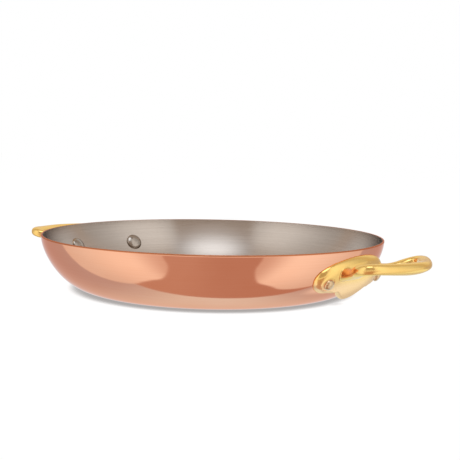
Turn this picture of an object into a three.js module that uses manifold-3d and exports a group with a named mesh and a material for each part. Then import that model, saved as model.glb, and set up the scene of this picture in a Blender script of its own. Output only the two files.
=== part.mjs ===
// Shallow round two-handled pan: a copper shell with a bonded steel lining,
// two cast brass loop handles, and two rivets through the wall for each handle.
// Millimetres, +Z up. The origin is the centre of the base, on the surface it stands on.
// The handles lie along +X and -X.

import * as THREE from 'three';
import { mergeVertices } from 'three/addons/utils/BufferGeometryUtils.js';
import Module from 'manifold-3d';

const wasm = await Module();
wasm.setup();

// Pan: outside of the copper, seen in half section
const RIM_RADIUS = 130;
const PAN_HEIGHT = 40.6;
const BASE_RADIUS = 93.3;
const FOOT_SWEEP = 20.3;
const RIM_RISE = 14.2;
const COPPER_WALL = 1.35;
const LINING_WALL = 0.15;
const BOND_GAP = 0.05;

// Rivets: where they stand on the wall, and their own sizes
const RIVET_HEIGHT = 21.3;
const RIVET_HALF_ANGLE = THREE.MathUtils.degToRad(15.35);
const SHANK_DIAMETER = 6.4;
const HEAD_DIAMETER = 14;
const HEAD_HEIGHT = 3.6;
const HEAD_EDGE = 0.7;
const PEEN_DIAMETER = 7.6;
const PEEN_HEIGHT = 2.9;
const PEEN_EDGE = 1;

// Handle plate, laid on the wall
const PLATE_THICKNESS = 5.2;
const PLATE_EDGE = 4.6;
const TONGUE_EDGE = 1.6;
const PLATE_TOP_BELOW_RIM = 3.8;
const LOBE_RADIUS = 9.4;
const TONGUE_WIDTH = 41;
const TONGUE_FOOT = 7.3;
const NOTCH_HEIGHT = 14.4;
const SPOT_DIAMETER = 10.4;
const SPOT_DEPTH = 0.5;
// How full the curves of the plate's outline are, as shares of the spans they cross
const LOBE_SHOULDER = THREE.MathUtils.degToRad(40);
const SHOULDER_FULLNESS = 0.6;
const ARCH_FLATNESS = 0.52;
const LOBE_LEAD = 0.5;
const TONGUE_FLATNESS = 0.42;
const TONGUE_ROUNDING = 0.4;
const SPINE_SHARE = 0.75;

// Handle loop: a bar that leaves the plate at two roots, spreads to two corners and bows round the grip.
// Its middle line runs from place to place and rounds them; reaches are measured from the rim.
const ROOT_SPACING = 40;
const ROOT_HEIGHT = 22.8;
const ARM_SPACING = 50;
const ARM_REACH = 2.5;
const ARM_HEIGHT = 25.4;
const CORNER_SPACING = 121;
const CORNER_REACH = 19.6;
const CORNER_HEIGHT = 32.7;
const CORNER_ROUNDING = 14;
const GRIP_FLAT = 28;
const GRIP_REACH = 41;
const GRIP_HEIGHT = 32.3;
const ARM_WIDTH = 8.2;
const ARM_THICKNESS = 5.8;
const GRIP_WIDTH = 11.5;
const GRIP_THICKNESS = 7.4;
const ROOT_FLARE = 4;
// How far the bar's changes of section reach along it and how round its section is, as shares
const FLARE_SHARE = 0.2;
const SWELL_START = 0.4;
const BAR_ROUNDING = 0.84;

// Clearances
const SEAT_GAP = 0.3;
const HOLE_CLEARANCE = 0.3;

// Facets
const PAN_SEGMENTS = 72;
const WALL_STEPS = 10;
const RIVET_SEGMENTS = 16;
const DOME_STEPS = 4;
const OUTLINE_STEPS = 4;
const BACK_STEPS = 3;
const FRONT_STEPS = 2;
const EDGE_STEPS = 4;
const LOOP_STEPS = 42;
const BAR_SIDES = 10;

const WALL = COPPER_WALL + BOND_GAP + LINING_WALL;
const MERGE_TOLERANCE = 1e-4;

const copper = new THREE.MeshStandardMaterial({ color: 0xd98a66, roughness: 0.16, metalness: 1 });
const steel = new THREE.MeshStandardMaterial({ color: 0xa59c92, roughness: 0.38, metalness: 1 });
const brass = new THREE.MeshStandardMaterial({ color: 0xe6b95c, roughness: 0.2, metalness: 1 });
const rivetSteel = new THREE.MeshStandardMaterial({ color: 0xa8a29a, roughness: 0.22, metalness: 1 });

// Solids

function solidOf(geometry) {
  geometry.deleteAttribute('normal');
  geometry.deleteAttribute('uv');
  const merged = mergeVertices(geometry, MERGE_TOLERANCE);
  const index = merged.index.array;
  const triVerts = [];
  for (let i = 0; i < index.length; i += 3) {
    const [a, b, c] = [index[i], index[i + 1], index[i + 2]];
    if (a !== b && b !== c && c !== a) triVerts.push(a, b, c);
  }
  const mesh = new wasm.Mesh({
    numProp: 3,
    vertProperties: new Float32Array(merged.attributes.position.array),
    triVerts: new Uint32Array(triVerts),
  });
  return new wasm.Manifold(mesh);
}

function geometryOf(solid) {
  const mesh = solid.getMesh();
  const geometry = new THREE.BufferGeometry();
  geometry.setAttribute('position', new THREE.BufferAttribute(mesh.vertProperties, 3));
  geometry.setIndex(new THREE.BufferAttribute(mesh.triVerts, 1));
  geometry.computeVertexNormals();
  return geometry;
}

function namedMesh(name, solid, material) {
  const mesh = new THREE.Mesh(geometryOf(solid), material.clone());
  mesh.name = name;
  return mesh;
}

function revolve(profile, segments) {
  return new THREE.LatheGeometry(profile, segments).rotateX(Math.PI / 2);
}

// The skin through rings of equal count, each running anticlockwise about the way they are stacked.
// It is closed where its first and last ring each fold flat onto themselves, or by capFaces,
// the triangles of one end, facing along the stack.
function loft(rings, capFaces = []) {
  const count = rings[0].length;
  const positions = rings.flat().flatMap((point) => point.toArray());
  const index = [];
  for (let ring = 0; ring < rings.length - 1; ring++) {
    for (let i = 0; i < count; i++) {
      const a = ring * count + i;
      const b = ring * count + ((i + 1) % count);
      index.push(a, b, a + count, b, b + count, a + count);
    }
  }
  const last = (rings.length - 1) * count;
  for (const [a, b, c] of capFaces) {
    index.push(a, c, b);
    index.push(last + a, last + b, last + c);
  }
  const geometry = new THREE.BufferGeometry();
  geometry.setAttribute('position', new THREE.Float32BufferAttribute(positions, 3));
  geometry.setIndex(index);
  return geometry;
}

// Wall of the pan

const wallCurve = new THREE.CubicBezierCurve(
  new THREE.Vector2(BASE_RADIUS, 0),
  new THREE.Vector2(BASE_RADIUS + FOOT_SWEEP, 0),
  new THREE.Vector2(RIM_RADIUS, PAN_HEIGHT - RIM_RISE),
  new THREE.Vector2(RIM_RADIUS, PAN_HEIGHT),
);

function wallNormal(t) {
  const tangent = wallCurve.getTangent(t);
  return new THREE.Vector2(tangent.y, -tangent.x);
}

function offsetWallPoint(t, offset) {
  return wallCurve.getPoint(t).addScaledVector(wallNormal(t), offset);
}

function wallProfile(offset) {
  const points = [];
  for (let i = 0; i <= WALL_STEPS; i++) points.push(offsetWallPoint(i / WALL_STEPS, offset));
  return points;
}

function wallParameter(height) {
  let low = 0;
  let high = 1;
  while (high - low > 1e-9) {
    const middle = (low + high) / 2;
    if (wallCurve.getPoint(middle).y < height) low = middle;
    else high = middle;
  }
  return (low + high) / 2;
}

// A dish of the wall's shape, between two offsets from the outside of the copper
function dish(outer, inner) {
  const profile = [
    new THREE.Vector2(0, -outer),
    ...wallProfile(outer),
    ...wallProfile(inner).reverse(),
    new THREE.Vector2(0, -inner),
  ];
  return solidOf(revolve(profile, PAN_SEGMENTS));
}

const rivetWall = wallParameter(RIVET_HEIGHT);
const rivetRadius = wallCurve.getPoint(rivetWall).x;
const rivetArc = rivetRadius * RIVET_HALF_ANGLE;

// A point on the wall: arc along it from the handle's middle, height on the copper, distance off the copper
function onWall(arc, height, offset) {
  const angle = arc / rivetRadius;
  const point = offsetWallPoint(wallParameter(height), offset);
  return new THREE.Vector3(point.x * Math.cos(angle), point.x * Math.sin(angle), point.y);
}

// Rivets: local z runs out along the rivet, from the outside of the copper

function rivetFrame(side) {
  const angle = side * RIVET_HALF_ANGLE;
  const normal = wallNormal(rivetWall);
  const out = new THREE.Vector3(normal.x * Math.cos(angle), normal.x * Math.sin(angle), normal.y);
  const along = new THREE.Vector3(-Math.sin(angle), Math.cos(angle), 0);
  const upwards = new THREE.Vector3().crossVectors(out, along);
  const frame = new THREE.Matrix4().makeBasis(along, upwards, out);
  return frame.setPosition(onWall(side * rivetArc, RIVET_HEIGHT, 0));
}

function rivetCylinder(side, diameter, from, to, turn = 0) {
  const geometry = new THREE.CylinderGeometry(diameter / 2, diameter / 2, to - from, RIVET_SEGMENTS);
  geometry.rotateX(Math.PI / 2).translate(0, 0, (from + to) / 2);
  return solidOf(geometry.applyMatrix4(rivetFrame(side)).rotateZ(turn));
}

// A domed end: straight edge from the seat, then an elliptical crown. direction is +1 outwards, -1 inwards.
function domeProfile(diameter, height, edge, seat, direction) {
  const points = [];
  for (let i = 0; i <= DOME_STEPS; i++) {
    const angle = (i / DOME_STEPS) * (Math.PI / 2);
    const rise = edge + (height - edge) * Math.cos(angle);
    points.push(new THREE.Vector2((diameter / 2) * Math.sin(angle), seat + direction * rise));
  }
  return points;
}

const holeDiameter = SHANK_DIAMETER + 2 * HOLE_CLEARANCE;
const plateFace = SEAT_GAP + PLATE_THICKNESS;
const spotFace = plateFace - SPOT_DEPTH;

function rivetSolid(side) {
  const headSeat = -(WALL + SEAT_GAP);
  const headProfile = [
    ...domeProfile(HEAD_DIAMETER, HEAD_HEIGHT, HEAD_EDGE, headSeat, -1),
    new THREE.Vector2(HEAD_DIAMETER / 2, 0),
    new THREE.Vector2(0, 0),
  ];
  const headBlank = solidOf(revolve(headProfile, RIVET_SEGMENTS).applyMatrix4(rivetFrame(side)));
  const head = headBlank.subtract(dish(HEAD_DIAMETER, headSeat));
  const peenSeat = spotFace + SEAT_GAP;
  const shankProfile = [
    new THREE.Vector2(0, headSeat - HEAD_EDGE),
    new THREE.Vector2(SHANK_DIAMETER / 2, headSeat - HEAD_EDGE),
    new THREE.Vector2(SHANK_DIAMETER / 2, peenSeat),
    new THREE.Vector2(PEEN_DIAMETER / 2, peenSeat),
    ...domeProfile(PEEN_DIAMETER, PEEN_HEIGHT, PEEN_EDGE, peenSeat, 1).reverse(),
  ];
  const shank = solidOf(revolve(shankProfile, RIVET_SEGMENTS).applyMatrix4(rivetFrame(side)));
  return head.add(shank);
}

// Handle plate: a three-lobed shield bent to the wall, with rounded edges

const plateTop = PAN_HEIGHT - PLATE_TOP_BELOW_RIM;
const lobeRise = LOBE_RADIUS * wallNormal(rivetWall).x;

// Lower right edge of the plate, from the tongue's foot to the outer end of the rivet lobe
function lowerEdge() {
  const notch = new THREE.Vector2(TONGUE_WIDTH / 2, NOTCH_HEIGHT);
  const foot = new THREE.Vector2(0, TONGUE_FOOT);
  const flank = foot.clone().lerp(notch, 1 - TONGUE_FLATNESS);
  flank.y = THREE.MathUtils.lerp(foot.y, notch.y, TONGUE_ROUNDING);
  const lobeFoot = RIVET_HEIGHT - lobeRise;
  const lobeStart = THREE.MathUtils.lerp(rivetArc, notch.x, LOBE_LEAD);
  const path = new THREE.Path();
  path.moveTo(foot.x, foot.y);
  path.bezierCurveTo(notch.x * TONGUE_FLATNESS, foot.y, flank.x, flank.y, notch.x, notch.y);
  path.bezierCurveTo(lobeStart, lobeFoot, lobeStart, lobeFoot, rivetArc, lobeFoot);
  path.absellipse(rivetArc, RIVET_HEIGHT, LOBE_RADIUS, lobeRise, -Math.PI / 2, 0, false, 0);
  return path.getPoints(OUTLINE_STEPS);
}

// Upper right edge, from the middle of the top to the outer end of the rivet lobe
function upperEdge(count) {
  const shoulder = new THREE.Vector2(
    rivetArc + LOBE_RADIUS * Math.cos(LOBE_SHOULDER),
    RIVET_HEIGHT + lobeRise * Math.sin(LOBE_SHOULDER),
  );
  const fall = new THREE.Vector2(-Math.sin(LOBE_SHOULDER), Math.cos(LOBE_SHOULDER));
  fall.multiplyScalar(LOBE_RADIUS * SHOULDER_FULLNESS).add(shoulder);
  const path = new THREE.Path();
  path.moveTo(0, plateTop);
  path.bezierCurveTo(shoulder.x * ARCH_FLATNESS, plateTop, fall.x, fall.y, shoulder.x, shoulder.y);
  path.absellipse(rivetArc, RIVET_HEIGHT, LOBE_RADIUS, lobeRise, LOBE_SHOULDER, 0, true, 0);
  return path.getSpacedPoints(count);
}

function plateSolid() {
  const lower = lowerEdge();
  const upper = upperEdge(lower.length - 1);
  // The plate's spine runs level through both rivets; each pair of edge points shares one point on it
  const spine = lower.map((low, i) => {
    return new THREE.Vector2(SPINE_SHARE * (low.x + upper[i].x) / 2, RIVET_HEIGHT);
  });
  const around = (low, high) => {
    const mirror = (points) => points.map((point) => new THREE.Vector2(-point.x, point.y));
    const rightSide = [...low, ...high.slice(0, -1).reverse()];
    return [...rightSide, ...mirror(rightSide.slice(1, -1)).reverse()];
  };
  const outline = around(lower, upper);
  const middle = around(spine, spine);
  const share = (part) => outline.map((point, i) => point.clone().lerp(middle[i], part));
  // The rounded edge is narrow along the tongue and wide along the lobes and the arch
  const edgeWidth = (point) => {
    if (point.y > RIVET_HEIGHT) return PLATE_EDGE;
    const towardsLobe = THREE.MathUtils.smoothstep(Math.abs(point.x), TONGUE_WIDTH / 2, rivetArc);
    return THREE.MathUtils.lerp(TONGUE_EDGE, PLATE_EDGE, towardsLobe);
  };
  const inset = (part) => outline.map((point, i) => {
    return point.clone().lerp(middle[i], (part * edgeWidth(point)) / point.distanceTo(middle[i]));
  });
  const layer = (points, offset) => points.map((point) => onWall(point.x, point.y, offset));
  const rings = [];
  for (let i = BACK_STEPS; i >= 0; i--) rings.push(layer(share(i / BACK_STEPS), SEAT_GAP));
  for (let i = 0; i <= EDGE_STEPS; i++) {
    const angle = (i / EDGE_STEPS) * (Math.PI / 2);
    rings.push(layer(inset(1 - Math.cos(angle)), plateFace - PLATE_EDGE * (1 - Math.sin(angle))));
  }
  const face = (part) => inset(1).map((point, i) => point.lerp(middle[i], part));
  for (let i = 1; i <= FRONT_STEPS; i++) rings.push(layer(face(i / FRONT_STEPS), plateFace));
  return solidOf(loft(rings));
}

// Handle loop

function loopCurve() {
  const place = (reach, spacing, height) => new THREE.Vector3(RIM_RADIUS + reach, spacing / 2, height);
  const root = new THREE.Vector3(rivetRadius, ROOT_SPACING / 2, ROOT_HEIGHT);
  const arm = place(ARM_REACH, ARM_SPACING, ARM_HEIGHT);
  const corner = place(CORNER_REACH, CORNER_SPACING, CORNER_HEIGHT);
  const shoulder = place(GRIP_REACH, GRIP_FLAT, GRIP_HEIGHT);
  const tip = place(GRIP_REACH, 0, GRIP_HEIGHT);
  const offCorner = (towards) => corner.clone().lerp(towards, CORNER_ROUNDING / corner.distanceTo(towards));
  const half = [
    [root, arm, offCorner(arm)],
    [offCorner(arm), corner, offCorner(shoulder)],
    [offCorner(shoulder), shoulder, tip],
  ];
  const mirrored = (points) => points.map((point) => point.clone().setY(-point.y)).reverse();
  const otherHalf = half.map(mirrored).reverse();
  const path = new THREE.CurvePath();
  [...half, ...otherHalf].forEach((points) => path.add(new THREE.QuadraticBezierCurve3(...points)));
  return path;
}

function loopSolid() {
  const path = loopCurve();
  const up = new THREE.Vector3(0, 0, 1);
  const rounded = (value) => Math.sign(value) * Math.abs(value) ** BAR_ROUNDING;
  const rings = [];
  for (let i = 0; i <= LOOP_STEPS; i++) {
    const share = i / LOOP_STEPS;
    const centre = path.getPointAt(share);
    const forward = path.getTangentAt(share);
    const across = new THREE.Vector3().crossVectors(up, forward).normalize();
    const above = new THREE.Vector3().crossVectors(forward, across);
    const towardsGrip = 1 - Math.abs(2 * share - 1);
    const flare = ROOT_FLARE * Math.max(0, 1 - towardsGrip / FLARE_SHARE) ** 2;
    const swell = THREE.MathUtils.smoothstep(towardsGrip, SWELL_START, 1);
    const width = THREE.MathUtils.lerp(ARM_WIDTH, GRIP_WIDTH, swell) + flare;
    const thickness = THREE.MathUtils.lerp(ARM_THICKNESS, GRIP_THICKNESS, swell) + flare;
    const ring = [];
    for (let k = 0; k < BAR_SIDES; k++) {
      const angle = (k / BAR_SIDES) * Math.PI * 2;
      const x = rounded(Math.cos(angle)) * (width / 2);
      const y = rounded(Math.sin(angle)) * (thickness / 2);
      ring.push(centre.clone().addScaledVector(across, x).addScaledVector(above, y));
    }
    rings.push(ring);
  }
  const capFaces = [];
  for (let k = 1; k < BAR_SIDES - 1; k++) capFaces.push([0, k, k + 1]);
  return solidOf(loft(rings, capFaces));
}

function handleSolid() {
  const rootDepth = SEAT_GAP + PLATE_THICKNESS / 2;
  const rootTrim = dish(rootDepth, -(ARM_WIDTH + ROOT_FLARE));
  const loop = loopSolid().subtract(rootTrim);
  let handle = plateSolid().add(loop);
  for (const side of [-1, 1]) {
    handle = handle.subtract(rivetCylinder(side, SPOT_DIAMETER, spotFace, plateFace + PEEN_HEIGHT));
    handle = handle.subtract(rivetCylinder(side, holeDiameter, 0, plateFace));
  }
  return handle;
}

// Pan shell and lining, drilled for both handles

function drilled(blank) {
  let pan = blank;
  for (const side of [-1, 1]) {
    for (const turn of [0, Math.PI]) {
      pan = pan.subtract(rivetCylinder(side, holeDiameter, -HEAD_DIAMETER, HEAD_DIAMETER, turn));
    }
  }
  return pan;
}

const pan = new THREE.Group();
pan.add(namedMesh('copper_shell', drilled(dish(0, -COPPER_WALL)), copper));
pan.add(namedMesh('steel_lining', drilled(dish(-(COPPER_WALL + BOND_GAP), -WALL)), steel));

// Each side of the pan carries one handle and its front and rear rivet
const handle = handleSolid();
for (const [sideName, turn, front] of [['right', 0, -1], ['left', Math.PI, 1]]) {
  const side = new THREE.Group();
  side.rotation.z = turn;
  side.add(namedMesh(`handle_${sideName}`, handle, brass));
  side.add(namedMesh(`rivet_${sideName}_front`, rivetSolid(front), rivetSteel));
  side.add(namedMesh(`rivet_${sideName}_rear`, rivetSolid(-front), rivetSteel));
  pan.add(side);
}

export default pan;
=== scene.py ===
"""Looks of a shallow round copper pan with a brushed steel lining and two riveted brass loop handles.

Lengths are in metres. The pan stands on z = 0 and its handles lie along +X and -X.
"""

import math
from collections import namedtuple

import bmesh
import bpy
from bpy.props import FloatProperty, FloatVectorProperty, IntProperty, PointerProperty
from mathutils import Matrix, Vector


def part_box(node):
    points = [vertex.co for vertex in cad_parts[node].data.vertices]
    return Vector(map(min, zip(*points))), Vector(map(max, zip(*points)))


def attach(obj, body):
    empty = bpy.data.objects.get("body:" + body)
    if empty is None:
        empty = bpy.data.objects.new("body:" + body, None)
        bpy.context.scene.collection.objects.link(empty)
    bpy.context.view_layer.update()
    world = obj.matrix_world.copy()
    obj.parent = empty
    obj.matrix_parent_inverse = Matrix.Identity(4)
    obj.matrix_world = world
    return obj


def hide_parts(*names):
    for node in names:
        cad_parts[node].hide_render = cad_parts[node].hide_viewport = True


bl_info = {
    "name": "Round Copper Pan",
    "version": (1, 0, 0),
    "blender": (4, 5, 0),
    "location": "View3D > Sidebar > Pan",
    "description": "Builds a riveted copper pan, its finishes and a studio around it",
    "category": "Object",
}

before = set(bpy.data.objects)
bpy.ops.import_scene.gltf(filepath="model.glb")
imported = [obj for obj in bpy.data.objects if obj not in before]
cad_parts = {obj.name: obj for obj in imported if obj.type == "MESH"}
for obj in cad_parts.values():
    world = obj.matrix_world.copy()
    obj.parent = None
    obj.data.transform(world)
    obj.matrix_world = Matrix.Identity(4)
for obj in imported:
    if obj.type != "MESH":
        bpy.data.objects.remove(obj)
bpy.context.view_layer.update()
SHELL_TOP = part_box("copper_shell")[1]
MM = 0.001
DEGREE = math.pi / 180
WHITE = (1, 1, 1, 1)
BLACK = (0, 0, 0, 1)

# Steps of the meshes and of the searches along the wall
RIM_STEPS = 12
HOLE_SEGMENTS = 48
RIVET_SEGMENTS = 64
DOME_STEPS = 16
PEEN_STEPS = 12
OUTLINE_STEPS = 18
FACE_STEPS = 10
EDGE_STEPS = 14
LOOP_STEPS = 60
BAR_SIDES = 40
TABLE_SEGMENTS = 96
HEIGHT_SEARCH = 40
GAP_SEARCH = 30
MERGE_DISTANCE = 1e-7
TINY = 1e-12

# Angles above which an edge stays sharp
SHARP_EDGE = 50 * DEGREE
RIVET_SHARP_EDGE = 35 * DEGREE
TABLE_SHARP_EDGE = 30 * DEGREE

# Shares that shape a handle: the outline of its plate, the section of its bar, the easing of its skin
TONGUE_FLATNESS = 0.42
TONGUE_ROUNDING = 0.4
LOBE_SHOULDER = 40 * DEGREE
SHOULDER_FULLNESS = 0.6
ARCH_FLATNESS = 0.52
SPINE_SHARE = 0.75
BAR_ROUNDING = 0.84
FLARE_SHARE = 0.2
SWELL_START = 0.4
CASTING_EASE = 0.5

# Lines per metre and how fast they fade around the pan, then patches per metre
SPIN_LINES = (1800, 2.5)
FINE_BRUSHING = (6500, 4)
BROAD_BRUSHING = (1100, 1.2)
COPPER_PATCHES = 22
BRASS_PATCHES = 60
BRASS_GRAIN = 900
RIVET_MARKS = 520
LINE_DETAIL = 3
PATCH_DETAIL = 4

# Ramps of the finishes: start and end of what is measured, then the level at each
COPPER_DULLING = (0.35, 0.75, 0, 0.6)
COPPER_STREAKS = (0.4, 0.7, 0, 0.35)
BRASS_DULLING = (0.4, 0.75, 0, 0.6)
# Painted shade: the brass darkens where other surfaces close in on it
BRASS_PAINTED_SHADE = (0.3, 0.8, 1, 0)
# Painted reflection: the foot of the plates turns paler, as if it showed the white table
BRASS_FOOT_SHEEN = (15 * MM, 24 * MM, 1, 0)
RIVET_STAINS = (0.35, 0.7, 0.25, 0)
CONTACT_SHADOW = (0.05, 0.6, 0.36, 1)

# Reach of the painted shade in the handles' hollows, of the painted dark reflection on the rim from the
# top down, and of the rivets' change of colour
BRASS_SHADE_REACH = 24 * MM
RIM_BAND = 1.1 * MM
RIM_BAND_FULL = 0.6 * MM
RIVET_FADE = 1 * MM
OPENNESS_SAMPLES = 16

# Span of a noise that changes the roughness, least and most as multiples of it, and what the rim adds
NOISE_SPAN = (0.3, 0.7)
COPPER_POLISH = (0.8, 1.3)
STEEL_POLISH = (0.9, 1.1)
BRASS_POLISH = (0.7, 1.4)
RIVET_POLISH = (0.7, 1.5)
RIM_ROUGHNESS = 0.3

# Turn of the lining's drawn-out mirroring, so that it runs across the brush lines
QUARTER_TURN = 0.25

# Strength and height of the bumps
COPPER_BUMP = (0.03, 0.1 * MM)
STEEL_BUMP = (0.01, 0.05 * MM)
BRASS_BUMP = (0.08, 0.6 * MM)
RIVET_BUMP = (0.15, 0.2 * MM)

# Ramps of the room: by turn from the camera, by share to the front or by rise
SOFTBOX_RIM = (-1.2 * DEGREE, 1.2 * DEGREE, 1, 0)
SOFTBOX_FADE = (55 * DEGREE, 115 * DEGREE, 1.15, 0.6)
TOP_LIGHT_EDGE = (0.1, 0.45, 1, 0)
BACKDROP_EDGE = (-0.75, -0.2, 0.85, 0)
BACKDROP_FOOT = (0, 14 * DEGREE, 0.55, 1)
ROOM_BEYOND = (80 * DEGREE, 126 * DEGREE, 0, 1)
HORIZON = (-0.01, 0.01, 0, 1)

# Ramps of what the polished table shows
SOFTBOX_HEART = (-24 * DEGREE, 0, 1, 0.85)
TABLE_GLOW = (60 * DEGREE, 105 * DEGREE, 1.08, 0.88)
TABLE_ACROSS = (-0.3, 0.15, 0, 1)
TABLE_ASIDE = (0.1, 0.7, 0, 1)
TABLE_EDGE = (-0.14, -0.1, 1, 0)
CARD_SIDE = (0.42, 0.56, 0, 1)
CARD_FOOT = (16 * DEGREE, 24 * DEGREE, 0, 1)
CARD_TOP = (50 * DEGREE, 62 * DEGREE, 1, 0)
CARD_BACK = (-0.42, -0.24, 1, 0)
FRONT_STRIP_TOP = (8 * DEGREE, 14 * DEGREE, 0.8, 0)
FRONT_STRIP_ENDS = (0.45, 0.75, 0, 1)

# Width and level of the softboxes' dimmer near edge, then slants and places in the studio
ROOM_NEAR_FADE = (18 * DEGREE, 0.78)
TABLE_NEAR_FADE = (26 * DEGREE, 0.42)
SOFTBOX_LEAN = 0.09
TABLE_EDGE_SKEW = 0.2
TOP_LIGHT_FRONT = 0.3

Headings = namedtuple("Headings", "front side up rise turn")


# Settings

def length(name, description, default):
    """A length, given in metres."""
    return FloatProperty(name=name, description=description, default=default, unit="LENGTH", precision=5)


def share(name, description, default):
    """A part of a whole, from 0 to 1."""
    values = {"default": default, "min": 0, "max": 1, "subtype": "FACTOR"}
    return FloatProperty(name=name, description=description, **values)


def angle(name, description, degrees):
    """An angle, given in degrees."""
    turn = math.radians(degrees)
    return FloatProperty(name=name, description=description, default=turn, unit="ROTATION")


def colour(name, description, default, most=1):
    """A linear colour, each part up to most."""
    values = {"default": default, "min": 0, "max": most, "subtype": "COLOR"}
    return FloatVectorProperty(name=name, description=description, **values)


def optic(name, description, default):
    """A length inside the camera, in millimetres."""
    return FloatProperty(name=name, description=description, default=default, unit="CAMERA")


def count(name, description, default):
    """A whole number of steps."""
    return IntProperty(name=name, description=description, default=default, min=1)


class PanShape(bpy.types.PropertyGroup):
    """Half section of the pan and the places of its rivets"""

    rim_radius: length("Rim Radius", "Outside radius of the copper at the rim", SHELL_TOP.x)
    height: length("Height", "Height of the rim above the table", SHELL_TOP.z)
    base_radius: length("Base Radius", "Radius of the flat base", 93.3 * MM)
    foot_sweep: length("Foot Sweep", "How far the base's line carries on into the wall", 20.3 * MM)
    rim_rise: length("Rim Rise", "How far the rim's upright line carries down into the wall", 14.2 * MM)
    copper_wall: length("Copper Wall", "Thickness of the copper", 1.35 * MM)
    bond_gap: length("Bond", "Thickness of the bond between copper and lining", 0.05 * MM)
    lining_wall: length("Lining Wall", "Thickness of the steel lining", 0.15 * MM)
    lining_drop: length("Lining Drop", "From the rim down to the edge of the lining", 0.1125 * MM)
    rivet_height: length("Rivet Height", "Height of the rivets on the outside of the copper", 21.3 * MM)
    rivet_angle: angle("Rivet Angle", "Turn from a handle's middle to its rivets", 15.35)
    segments: count("Segments", "Steps round the pan", 288)
    wall_steps: count("Wall Steps", "Steps from base to rim", 44)


class RivetShape(bpy.types.PropertyGroup):
    """Sizes of a rivet"""

    shank_radius: length("Shank Radius", "Radius of the shank", 3.2 * MM)
    hole_radius: length("Hole Radius", "Radius of the holes the shank goes through", 3.5 * MM)
    head_radius: length("Head Radius", "Radius of the domed head inside the pan", 7 * MM)
    head_height: length("Head Height", "Height of the domed head above the lining", 3.6 * MM)
    head_edge: length("Head Edge", "Upright edge of the head under its dome", 0.7 * MM)
    peen_radius: length("Set End Radius", "Radius of the set end outside the handle", 3.8 * MM)
    peen_height: length("Set End Height", "Height of the set end above its seat", 2.9 * MM)
    peen_edge: length("Set End Edge", "Upright edge of the set end under its crown", 1.015 * MM)
    seat_gap: length("Seat Gap", "Clearance under heads, set ends and plates", 0.3 * MM)


class HandleShape(bpy.types.PropertyGroup):
    """Sizes of a cast handle"""

    plate_thickness: length("Plate Thickness", "Thickness of the plate on the wall", 5.2 * MM)
    lobe_edge: length("Lobe Edge", "Width of the rounded edge along lobes and arch", 5.4 * MM)
    tongue_edge: length("Tongue Edge", "Width of the rounded edge along the tongue", 1.6 * MM)
    plate_drop: length("Plate Drop", "From the rim down to the top of the plate", 3.8 * MM)
    lobe_radius: length("Lobe Radius", "Radius of the lobes round the rivets", 9.4 * MM)
    tongue_width: length("Tongue Width", "Width of the tongue between its notches", 41 * MM)
    tongue_foot: length("Tongue Foot", "Height of the tongue's foot on the wall", 7.3 * MM)
    notch_height: length("Notch Height", "Height of the notches on the wall", 14.4 * MM)
    spot_radius: length("Spot Radius", "Radius of the flat cut round each rivet", 5.2 * MM)
    spot_depth: length("Spot Depth", "Depth of the flat cut round each rivet", 0.5 * MM)
    root_spacing: length("Root Spacing", "Distance between the two roots of the loop", 40 * MM)
    root_height: length("Root Height", "Height of the roots", 22.8 * MM)
    arm_spacing: length("Arm Spacing", "Distance between the arms where they leave the plate", 53 * MM)
    arm_reach: length("Arm Reach", "From the rim out to where the arms turn aside", 9 * MM)
    arm_height: length("Arm Height", "Height where the arms turn aside", 26.2 * MM)
    corner_spacing: length("Corner Spacing", "Distance between the corners before rounding", 99 * MM)
    corner_skew: length("Corner Skew", "How far the front corner stands out, the rear back", 2.7 * MM)
    corner_reach: length("Corner Reach", "From the rim out to the loop's corners", 24 * MM)
    corner_height: length("Corner Height", "Height of the loop's corners", 33.4 * MM)
    corner_rounding: length("Corner Rounding", "Reach of a corner's rounding along the bar", 18 * MM)
    grip_flat: length("Grip Flat", "Distance between the bends at the ends of the grip", 28 * MM)
    grip_reach: length("Grip Reach", "From the rim out to the middle of the grip", 40.2 * MM)
    grip_height: length("Grip Height", "Height of the grip", 31.6 * MM)
    arm_width: length("Arm Width", "Width of the bar at its arms", 8.2 * MM)
    arm_thickness: length("Arm Thickness", "Thickness of the bar at its arms", 7 * MM)
    grip_width: length("Grip Width", "Width of the bar at the grip", 11.5 * MM)
    grip_thickness: length("Grip Thickness", "Thickness of the bar at the grip", 7.4 * MM)
    grip_roll: angle("Grip Roll", "Roll of the grip, outer edge down", 25)
    root_flare: length("Root Flare", "How much the bar widens where it meets the plate", 5 * MM)
    tilt: angle("Tilt", "Turn of the plates on the wall, front end up", 1.5)
    right_tilt: angle("Right Loop Tilt", "Tilt of the right loop, front corner up", 1.4)
    left_tilt: angle("Left Loop Tilt", "Tilt of the left loop, front corner up", 0.4)
    casting_grain: length("Casting Grain", "Step of the cast skin", 0.5 * MM)
    casting_passes: count("Casting Passes", "How often the cast skin is eased", 10)


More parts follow.
